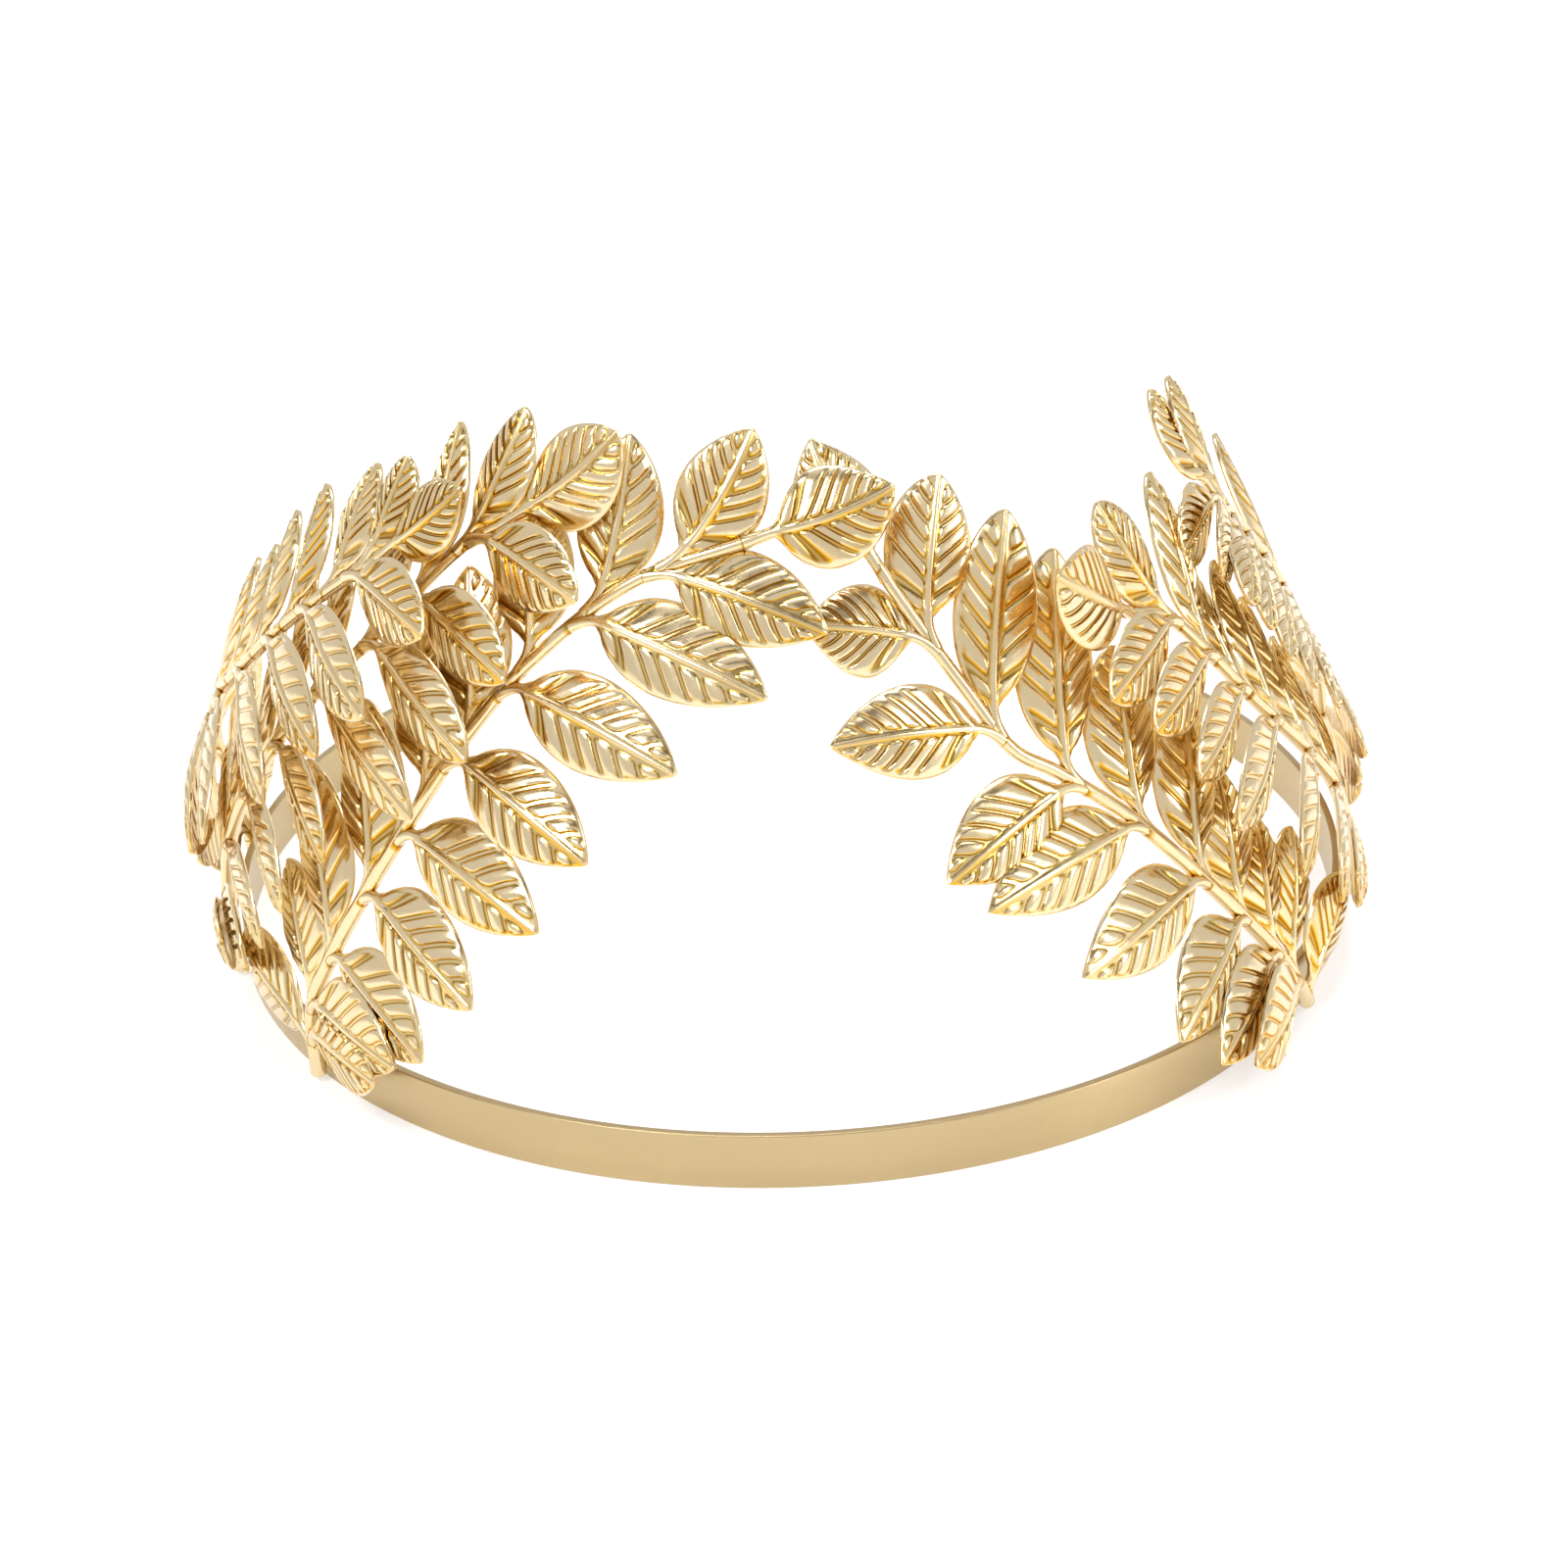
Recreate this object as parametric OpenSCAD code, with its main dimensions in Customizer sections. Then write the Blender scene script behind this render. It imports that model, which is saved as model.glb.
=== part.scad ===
/* [Hoop] */
// Radius of the band's outer face
hoop_r = 72.5; // [66:0.5:78]
// Height of the band, and so its width as worn
band_h = 7; // [5:0.5:9]
// Thickness of the band
band_t = 1; // [0.8:0.1:1.6]
// Arc left open at the back, where the head goes in
back_gap = 90; // [60:5:110]

/* [Sprigs] */
// Clearance between a sprig's foot and the band that carries it
seat_gap = 0.2; // [0.15:0.05:0.4]
// Thickness of a stem at its foot
foot_d = 2; // [1.6:0.1:2.4]
// Thickness of a stem under its end leaf
neck_d = 1.4; // [1.2:0.1:1.8]
// Height over which the outer sprigs rise clear of the inner ones
rise_h = 30; // [20:1:40]

/* [Leaves] */
// Thickness of the pressed leaf
leaf_t = 0.6; // [0.5:0.1:0.9]
// Height of the midrib over the leaf
rib_h = 0.3; // [0.2:0.1:0.5]
// Length of a leaf's stalk
stalk_l = 3.5; // [2.5:0.5:4.5]
// Thickness of a leaf's stalk
stalk_d = 1.3; // [1:0.1:1.6]
// Width of the plain leaves
leaf_w = 10; // [8:0.2:11]
// Width of the broad leaf at the end of each sprig
end_leaf_w = 10.8; // [9:0.2:12]
// How far a leaf curls away from its stem along its length, in degrees
sweep = 16; // [0:2:30]
// How far the margins fall back from the midrib, as a share of the half width
cup = 0.12; // [0:0.02:0.2]
// How far each leaf of the front sprigs tilts to lie over the next one toward the foot, in degrees
tilt = 9; // [0:1:15]

/* [Hidden] */
gold = "#d8bd86";
pale_gold = "#e2cb97";

// Height over which a dome's lean is measured, and the height where it begins
lean_h = 75;
lean_from = 5;
// Angle from the front where the sides begin to come in, and the height over which they do
waist_from = 30;
waist_h = 40;
// Height above which leaves tilt fully, clear of the band
clear_h = 25;
// Stations along a blade, as shares of its length
blade_steps = [0, 0.12, 0.4, 0.72];
// Straight lengths that make up a stem
stem_steps = 11;
// Sides of a round stem
stem_sides = 5;

// A dome is what the sprigs of one layer lie on: it stands on the hoop and leans in as it rises.
// Columns: how far the layer stands off the innermost one, lean at lean_h, power of the lean,
// and how much further it comes in at the sides of the head.
left_front_dome = [0.4, 24.5, 1.8, 2];
left_middle_dome = [2.9, 25.5, 1.8, 2];
left_back_dome = [5.2, 25.5, 1.8, 2];
right_front_dome = [0.4, 28.5, 1.5, 4];
right_middle_dome = [2.9, 30, 1.5, 4];
right_back_dome = [5, 30.5, 1.5, 4];

// How each sprig's leaves are set. Columns: width of the plain leaves and of the end leaf as shares of leaf_w and
// end_leaf_w, and the tilt of the leaves above and below the stem: above 0, the margin toward the foot is raised.
left_front_set = [1, 1, tilt, tilt];
left_middle_set = [0.88, 1, -10, -12];
left_back_set = [0.88, 0.78, -5, -8];
right_front_set = [1, 1, tilt, tilt];
right_middle_set = [0.88, 1, 0, -12];
right_back_set = [0.9, 0.95, 2, -2];

// Stems. Columns: degrees round the hoop from the front, negative on the sprig's own side, and height.
left_front_stem = [[-52, 1.2], [-52, 10], [-48, 20], [-40, 37], [-34, 49], [-27, 59], [-16, 68], [0, 73]];
left_middle_stem = [[-75, 1.2], [-75, 9], [-71.5, 21], [-64.5, 34.5], [-57, 46], [-47, 58], [-38, 69], [-29.5, 74]];
left_back_stem = [[-98, 1.2], [-97, 10], [-93, 22], [-84, 34], [-73.5, 43], [-63, 53.5], [-54, 61.5], [-47, 67]];
right_front_stem = [[-59, 1.2], [-54, 10], [-47, 21], [-37, 35], [-29, 43], [-24, 47], [-20, 54], [-15, 62.5], [-11, 69]];
right_middle_stem = [[-82, 1.2], [-81, 9], [-77, 19], [-68.5, 30], [-60, 40], [-53, 49.5], [-48, 55], [-41, 57.5]];
right_back_stem = [[-102, 1.2], [-100, 12], [-96, 24], [-89.5, 37], [-83, 46.5], [-77.5, 53], [-73.5, 57.5], [-70.5, 61]];

// Leaves. Columns: place along the stem from 0 at the foot to 1, side (1 above the stem, -1 below, 0 its end),
// angle off the stem, length, how far the tip lifts outward in degrees, and the leaf's own tilt where it has one.
left_front_leaves = [
    [0.07, -1, 90, 15.5, 16], [0.05, 1, 75, 20, 2],
    [0.145, -1, 75, 17.5, 14], [0.155, 1, 52, 14.5, 0],
    [0.27, -1, 82, 17, 12], [0.27, 1, 62, 20.5, 0],
    [0.355, -1, 86, 18, 12], [0.36, 1, 52, 19, 0],
    [0.425, -1, 80, 19.5, 12], [0.475, 1, 48, 16.5, 0],
    [0.535, -1, 87, 18.5, 10], [0.575, 1, 50, 16, 0],
    [0.655, -1, 76, 20, 10], [0.695, 1, 58, 17, 0],
    [0.775, -1, 67, 20, 10], [0.795, 1, 45, 16.5, 0],
    [0.87, -1, 50, 17, 6], [0.885, 1, 35, 15, 5],
    [0.97, 0, -2, 14, 5]];
left_middle_leaves = [
    [0.07, -1, 72, 15, 14], [0.07, 1, 60, 16, 0],
    [0.18, -1, 78, 17, 10], [0.185, 1, 55, 17, 0],
    [0.29, -1, 82, 17, 8], [0.295, 1, 55, 18, -1],
    [0.39, -1, 84, 17, 8], [0.395, 1, 56, 18, -2],
    [0.49, -1, 82, 17, 8], [0.49, 1, 57, 18, -2],
    [0.6, -1, 71, 21.5, 10], [0.59, 1, 58, 18, -2],
    [0.69, -1, 75, 19.5, 12], [0.69, 1, 58, 17.5, -2],
    [0.765, -1, 77, 16, 15], [0.775, 1, 45, 16.5, -1],
    [0.875, -1, 62, 14.5, 20], [0.855, 1, 29, 14, 5],
    [0.945, 0, 12, 14, 8]];
left_back_leaves = [
    [0.06, -1, 70, 15, 8], [0.06, 1, 60, 16, 2],
    [0.16, -1, 75, 17, 8], [0.17, 1, 60, 17, 0],
    [0.27, -1, 78, 18, 7], [0.28, 1, 58, 17, 0],
    [0.37, -1, 74, 20, 9], [0.37, 1, 58, 16, 0],
    [0.48, -1, 66, 21, 10], [0.46, 1, 58, 15.5, 0],
    [0.585, -1, 60, 22, 10], [0.545, 1, 60, 15, 0],
    [0.675, -1, 60, 21.5, 12], [0.64, 1, 66, 14.5, 0],
    [0.77, -1, 60, 20, 15], [0.72, 1, 64, 14, 0],
    [0.825, 1, 53, 13, 0],
    [0.89, -1, 50, 15.5, 15], [0.925, 1, 45, 11, 5],
    [0.985, 0, 2, 12, 10]];
right_front_leaves = [
    [0.07, -1, 55, 18, 24], [0.01, 1, 88, 13, 10],
    [0.145, -1, 67, 17.5, 20], [0.09, 1, 64, 14.5, 4],
    [0.225, -1, 76, 17, 18], [0.15, 1, 52, 13.5, 1],
    [0.29, -1, 63, 20, 14], [0.225, 1, 53, 15, 0],
    [0.37, -1, 60, 20.5, 12], [0.29, 1, 60, 19.5, 0],
    [0.465, -1, 65, 17, 12], [0.365, 1, 54, 18, 0],
    [0.655, -1, 58, 17, 10], [0.475, 1, 64, 23, 3],
    [0.815, -1, 52, 12, 3], [0.66, 1, 49, 21.5, 5],
    [0.82, 1, 45, 15.5, 5],
    [0.945, 0, 4, 14, 0]];
right_middle_leaves = [
    [0.07, -1, 70, 15, 12], [0.07, 1, 55, 15, 0],
    [0.19, -1, 75, 17, 12], [0.19, 1, 52, 16, -1],
    [0.3, -1, 73, 18, 12], [0.3, 1, 54, 17, -2],
    [0.41, -1, 68, 19, 14], [0.4, 1, 54, 18, -2],
    [0.51, -1, 60, 20, 14], [0.5, 1, 54, 18, -1],
    [0.6, -1, 67, 16.5, 14], [0.595, 1, 55, 17, -9],
    [0.685, -1, 67, 15.5, 15], [0.69, 1, 55, 19, 0],
    [0.81, -1, 64, 15.5, 18], [0.83, 1, 23, 14.5, 8],
    [0.975, 0, 6, 14, 36]];
right_back_leaves = [
    [0.07, -1, 65, 15, 8], [0.07, 1, 60, 15, 2],
    [0.18, -1, 72, 17, 6], [0.18, 1, 55, 17, 0],
    [0.29, -1, 75, 18, 8], [0.29, 1, 52, 18, 0],
    [0.4, -1, 75, 16, 8], [0.4, 1, 50, 18, 0],
    [0.5, -1, 76, 17, 8], [0.52, 1, 53, 17.2, 3],
    [0.61, -1, 78, 16, 8],
    [0.72, -1, 80, 14, 10],
    [0.83, -1, 80, 13, 12],
    [0.88, -1, 70, 12, 8, -20], [0.92, 1, 47, 13.6, 6],
    [0.97, -1, 61, 12, -1, -15],
    [0.99, 0, 34, 12.3, 0]];

// Smooth step from 0 to 1
function ease(t) = let (c = min(max(t, 0), 1)) c * c * (3 - 2 * c);

// Radius of a dome at a point: degrees from the front, height
function dome_r(dome, p) = hoop_r + seat_gap + foot_d / 2 + dome[0] * ease(p[1] / rise_h)
    - dome[1] * pow(max(p[1] - lean_from, 0) / lean_h, dome[2])
    - dome[3] * ease((abs(p[0]) - waist_from) / (90 - waist_from)) * ease(p[1] / waist_h);

// How much a dome leans in for each millimetre that it rises
function dome_slope(dome, z) = dome[1] * dome[2] / lean_h * pow(max(z - lean_from, 0.01) / lean_h, dome[2] - 1);

// The length along the dome for each millimetre of height
function dome_stretch(dome, z) = sqrt(1 + pow(dome_slope(dome, z), 2));

// The point at an angle round the hoop and a height, n outside the dome
function on_dome(dome, p, n) =
    let (slope = dome_slope(dome, p[1]), k = dome_stretch(dome, p[1]), r = dome_r(dome, p) + n / k)
    [r * sin(p[0]), -r * cos(p[0]), p[1] + n * slope / k];

// From a point on the dome, a step of some millimetres round it and up it
function dome_step(dome, p, step) =
    [p[0] + step[0] / dome_r(dome, p) * 180 / PI, p[1] + step[1] / dome_stretch(dome, p[1])];

// A smooth curve through the rows of a table, u from 0 to 1
function along(rows, u) =
    let (n = len(rows) - 1, x = min(max(u, 0), 1) * n, i = min(floor(x), n - 1), t = x - i,
        p1 = rows[i], p2 = rows[i + 1],
        p0 = i > 0 ? rows[i - 1] : 2 * p1 - p2, p3 = i + 2 <= n ? rows[i + 2] : 2 * p2 - p1)
    0.5 * (2 * p1 + (p2 - p0) * t + (2 * p0 - 5 * p1 + 4 * p2 - p3) * t * t + (3 * p1 - p0 - 3 * p2 + p3) * t * t * t);

// Which way a stem runs at u, as an angle up from the way round the hoop
function heading(dome, rows, u) =
    let (a = along(rows, u - 0.01), b = along(rows, u + 0.01), mid = (a + b) / 2)
    atan2((b[1] - a[1]) * dome_stretch(dome, mid[1]), (b[0] - a[0]) * PI / 180 * dome_r(dome, mid));

// Half width of a blade at t along it, for a blade one wide
function half_width(t) = 1.265 * pow(t, 0.6) * pow(1 - t, 0.75);

// Where the midrib is at t along a blade of one, for a leaf that sets out at an angle and curls
function rib_at(angle, side, t, steps = 8) =
    let (cells = [for (i = [0:steps - 1]) let (a = angle + side * sweep * ((i + 0.5) / steps * t - 0.5)) [cos(a), sin(a)]])
    t / steps * [sum([for (c = cells) c[0]]), sum([for (c = cells) c[1]])];

function sum(v, i = 0) = i < len(v) ? v[i] + sum(v, i + 1) : 0;

// One leaf: a stalk that grows out of the stem and a thin blade with a raised midrib
module leaf(dome, set, rows, row) {
    side = row[1] == 0 ? 1 : row[1];
    start = along(rows, row[0]);
    stem_way = heading(dome, rows, row[0]);
    leaf_way = stem_way + side * row[2];
    stalk_way = stem_way + side * row[2] * 0.55;
    width = row[1] == 0 ? end_leaf_w * set[1] : leaf_w * set[0];
    base = stalk_l * [cos(stalk_way), sin(stalk_way)];
    rise = tan(row[4]);
    own_tilt = len(row) > 5 ? row[5] : set[row[1] > 0 ? 2 : 3];
    roll = row[1] * tan(own_tilt) * min(start[1] / clear_h, 1);
    // Columns: place on the leaf's own plan, way of the midrib, half width, distance out, thickness, midrib
    rings = concat(
        [[[0, 0], stalk_way, stalk_d * 0.35, 0, stalk_d * 0.7, 0]],
        [for (t = blade_steps)
            let (way = leaf_way + side * sweep * (t - 0.5))
            [base + row[3] * rib_at(leaf_way, side, t), way, max(width * half_width(t), stalk_d / 2),
                stalk_l + row[3] * t, t == 0 ? stalk_d : leaf_t, rib_h]]);
    tip = base + row[3] * rib_at(leaf_way, side, 1);
    points = concat(
        [for (r = rings) for (q = [[1, 1], [0, 1], [-1, 1], [-1, -1], [0, -1], [1, -1]])
            let (off = q[0] * r[2], place = r[0] + off * [-sin(r[1]), cos(r[1])],
                n = rise * r[3] + roll * off - cup * abs(off) + q[1] * r[4] / 2
                    + (q[0] == 0 && q[1] == 1 ? r[5] : 0))
            on_dome(dome, dome_step(dome, start, place), n)],
        [on_dome(dome, dome_step(dome, start, tip), rise * (stalk_l + row[3]))]);
    last = 6 * (len(rings) - 1);
    faces = concat(
        [for (j = [1:4]) [0, j, j + 1]],
        [for (i = [0:len(rings) - 2]) for (j = [0:5])
            let (a = 6 * i + j, b = 6 * i + (j + 1) % 6) each [[a, a + 6, b], [b, a + 6, b + 6]]],
        [for (j = [0:5]) [last + j, len(points) - 1, last + (j + 1) % 6]]);
    polyhedron(points, faces);
}

// A flat ring of points round the stem at u
function stem_ring(dome, rows, u) =
    let (p = along(rows, u), way = heading(dome, rows, u), mid = on_dome(dome, p, 0),
        across = on_dome(dome, dome_step(dome, p, [-sin(way), cos(way)]), 0) - mid,
        out = on_dome(dome, p, 1) - mid, r = (foot_d + (neck_d - foot_d) * u) / 2)
    [for (i = [0:stem_sides - 1]) let (a = 360 * i / stem_sides)
        mid + r * (cos(a) * across / norm(across) + sin(a) * out / norm(out))];

// One sprig: its stem from the foot on the band to the end leaf, and its leaves, in one piece
module sprig(dome, set, rows, leaves) {
    union() {
        for (i = [0:stem_steps - 1])
            hull()
                polyhedron(
                    concat(stem_ring(dome, rows, i / stem_steps), stem_ring(dome, rows, (i + 1) / stem_steps)),
                    [[for (k = [0:2 * stem_sides - 1]) k]]);
        for (row = leaves)
            leaf(dome, set, rows, row);
    }
}

// The plain springy hoop, open at the back, with rounded ends
module band() {
    inner_r = hoop_r - band_t;
    end_at = 180 - back_gap / 2;
    color(gold)
    difference() {
        rotate([0, 0, -90 - end_at])
            rotate_extrude(angle = 2 * end_at, $fn = 180)
                translate([inner_r, 0])
                    square([band_t, band_h]);
        for (side = [-1, 1])
            rotate([0, 0, -90 + side * end_at])
                translate([inner_r - 1, 0, band_h / 2])
                    rotate([0, 90, 0])
                        difference() {
                            translate([-band_h, side > 0 ? -band_h / 2 : -1, 0])
                                cube([2 * band_h, band_h / 2 + 1, band_t + 2]);
                            translate([0, -side * band_h / 2, -1])
                                cylinder(d = band_h, h = band_t + 4, $fn = 48);
                        }
    }
}

module left_front_sprig()
    color(pale_gold) sprig(left_front_dome, left_front_set, left_front_stem, left_front_leaves);

module left_middle_sprig()
    color(pale_gold) sprig(left_middle_dome, left_middle_set, left_middle_stem, left_middle_leaves);

module left_back_sprig()
    color(pale_gold) sprig(left_back_dome, left_back_set, left_back_stem, left_back_leaves);

module right_front_sprig()
    color(pale_gold) mirror([1, 0, 0]) sprig(right_front_dome, right_front_set, right_front_stem, right_front_leaves);

module right_middle_sprig()
    color(pale_gold) mirror([1, 0, 0]) sprig(right_middle_dome, right_middle_set, right_middle_stem, right_middle_leaves);

module right_back_sprig()
    color(pale_gold) mirror([1, 0, 0]) sprig(right_back_dome, right_back_set, right_back_stem, right_back_leaves);

band();
left_front_sprig();
left_middle_sprig();
left_back_sprig();
right_front_sprig();
right_middle_sprig();
right_back_sprig();
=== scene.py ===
"""Leaf headband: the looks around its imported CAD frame.

Lengths in the tables and in the mesh code are millimetres, and angles in the tables are degrees.
"""
import math

import bmesh
import bpy
import numpy as np
from mathutils import Matrix, Vector


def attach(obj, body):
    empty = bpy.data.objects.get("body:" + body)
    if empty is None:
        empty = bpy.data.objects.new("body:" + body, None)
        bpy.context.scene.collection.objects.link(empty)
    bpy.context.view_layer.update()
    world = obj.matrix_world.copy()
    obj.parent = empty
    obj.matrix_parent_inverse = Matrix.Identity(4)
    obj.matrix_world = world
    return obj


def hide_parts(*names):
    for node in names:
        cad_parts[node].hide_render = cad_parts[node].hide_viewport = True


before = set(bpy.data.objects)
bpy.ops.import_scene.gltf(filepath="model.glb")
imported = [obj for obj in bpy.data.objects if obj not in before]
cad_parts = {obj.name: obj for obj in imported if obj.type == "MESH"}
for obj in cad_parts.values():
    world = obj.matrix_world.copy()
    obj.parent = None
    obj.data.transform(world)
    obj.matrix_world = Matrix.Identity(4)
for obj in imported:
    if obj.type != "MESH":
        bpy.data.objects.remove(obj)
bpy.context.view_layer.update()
MM = 0.001
TINY = 0.01                 # keeps a power or a division off zero

# The camera

# Fitted to the photograph's hoop by a scratch script: where it stands, its elevation and roll, and
# its focal length in pixels.
CAMERA_AT = (-0.302, -373.457, 204.888)
CAMERA_ELEVATION = 26.981
CAMERA_ROLL = -2.235
FOCAL_PIXELS = 3233.63
IMAGE_SIDE = 1600
SENSOR = 36.0

# Hoop and sprigs, as in part.scad
HOOP_R = 72.5               # radius of the band's outer face
BAND_H = 7.0                # height of the band
BAND_T = 1.0                # thickness of the band
BACK_GAP = 90.0             # arc left open at the back
SEAT_GAP = 0.2              # clearance between a sprig's foot and the band
FOOT_D = 2.0                # thickness of a stem at its foot
NECK_D = 1.4                # thickness of a stem under its end leaf
RISE_H = 30.0               # height over which the outer sprigs rise clear of the inner ones
STALK_L = 3.5               # length of a leaf's stalk
STALK_D = 1.3               # thickness of a leaf's stalk
STALK_SHARE = 0.55          # how much of the leaf's angle off the stem its stalk takes
SWEEP = 16.0                # how far a leaf curls away from its stem along its length
CUP = 0.12                  # how far the margins fall back, as a share of the half width
LEAN_H = 75.0               # height over which a dome's lean is measured
LEAN_FROM = 5.0             # height where it begins
WAIST_FROM = 30.0           # angle from the front where the sides begin to come in
SIDE_AT = 90.0              # angle from the front where they are fully in
WAIST_H = 40.0              # height over which they come in
CLEAR_H = 25.0              # height above which leaves tilt fully, clear of the band
# The smooth blades thin out toward their margins, so these three are a little over the part's
# 0.6, 10 and 10.8.
LEAF_T = 0.7                # thickness of a blade
LEAF_W = 10.5               # width of the plain leaves
END_LEAF_W = 11.3           # width of the broad leaf at the end of each sprig

# Columns: layer, lean, power of the lean, waist
DOMES = {
    "left_front_sprig": (0.4, 24.5, 1.8, 2),
    "left_middle_sprig": (2.9, 25.5, 1.8, 2),
    "left_back_sprig": (5.2, 25.5, 1.8, 2),
    "right_front_sprig": (0.4, 28.5, 1.5, 4),
    "right_middle_sprig": (2.9, 30, 1.5, 4),
    "right_back_sprig": (5, 30.5, 1.5, 4),
}
# Columns: width of the plain leaves and of the end leaf as shares, tilt of the leaves above and
# below the stem, and how pointed the tips above and below it are: the power of the blade's closing
# curve, where a lower one makes a rounder tip
SETS = {
    "left_front_sprig": (1, 1, 9, 9, 0.78, 0.84),
    "left_middle_sprig": (0.88, 1, -10, -12, 0.7, 0.72),
    "left_back_sprig": (0.88, 0.78, -5, -8, 0.66, 0.7),
    "right_front_sprig": (1, 1, 9, 9, 0.68, 0.9),
    "right_middle_sprig": (0.88, 1, 0, -12, 0.62, 0.68),
    "right_back_sprig": (0.9, 0.95, 2, -2, 0.6, 0.64),
}
BASE_POWER = 0.62           # power of the blade's opening curve

# Where the photograph shows a stem or a leaf, its rows below began as a scratch script's results
# for pixels picked by eye, and were rounded. The other rows were chosen.

# Columns: degrees round the hoop from the front, negative on the sprig's own side, and height.
# The right sprigs are laid out on the left too, and mirrored.
STEMS = {
    "left_front_sprig": [
        (-52, 1.2), (-52, 10), (-48, 20), (-40, 37), (-34, 49), (-27, 59), (-16, 68), (0, 73)],
    "left_middle_sprig": [
        (-75, 1.2), (-75, 9), (-71.5, 21), (-64.5, 34.5), (-57, 46), (-47, 58), (-38, 69),
        (-29.5, 74)],
    "left_back_sprig": [
        (-98, 1.2), (-97, 10), (-93, 22), (-84, 34), (-73.5, 43), (-63, 53.5), (-54, 61.5),
        (-47, 67)],
    "right_front_sprig": [
        (-59, 1.2), (-54, 10), (-47, 21), (-37, 35), (-29, 43), (-24, 47), (-20, 54),
        (-15, 62.5), (-11, 69)],
    "right_middle_sprig": [
        (-82, 1.2), (-81, 9), (-77, 19), (-68.5, 30), (-60, 40), (-53, 49.5), (-48, 55),
        (-41, 57.5)],
    "right_back_sprig": [
        (-102, 1.2), (-100, 12), (-96, 24), (-89.5, 37), (-83, 46.5), (-77.5, 53), (-73.5, 57.5),
        (-70.5, 61)],
}
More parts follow.
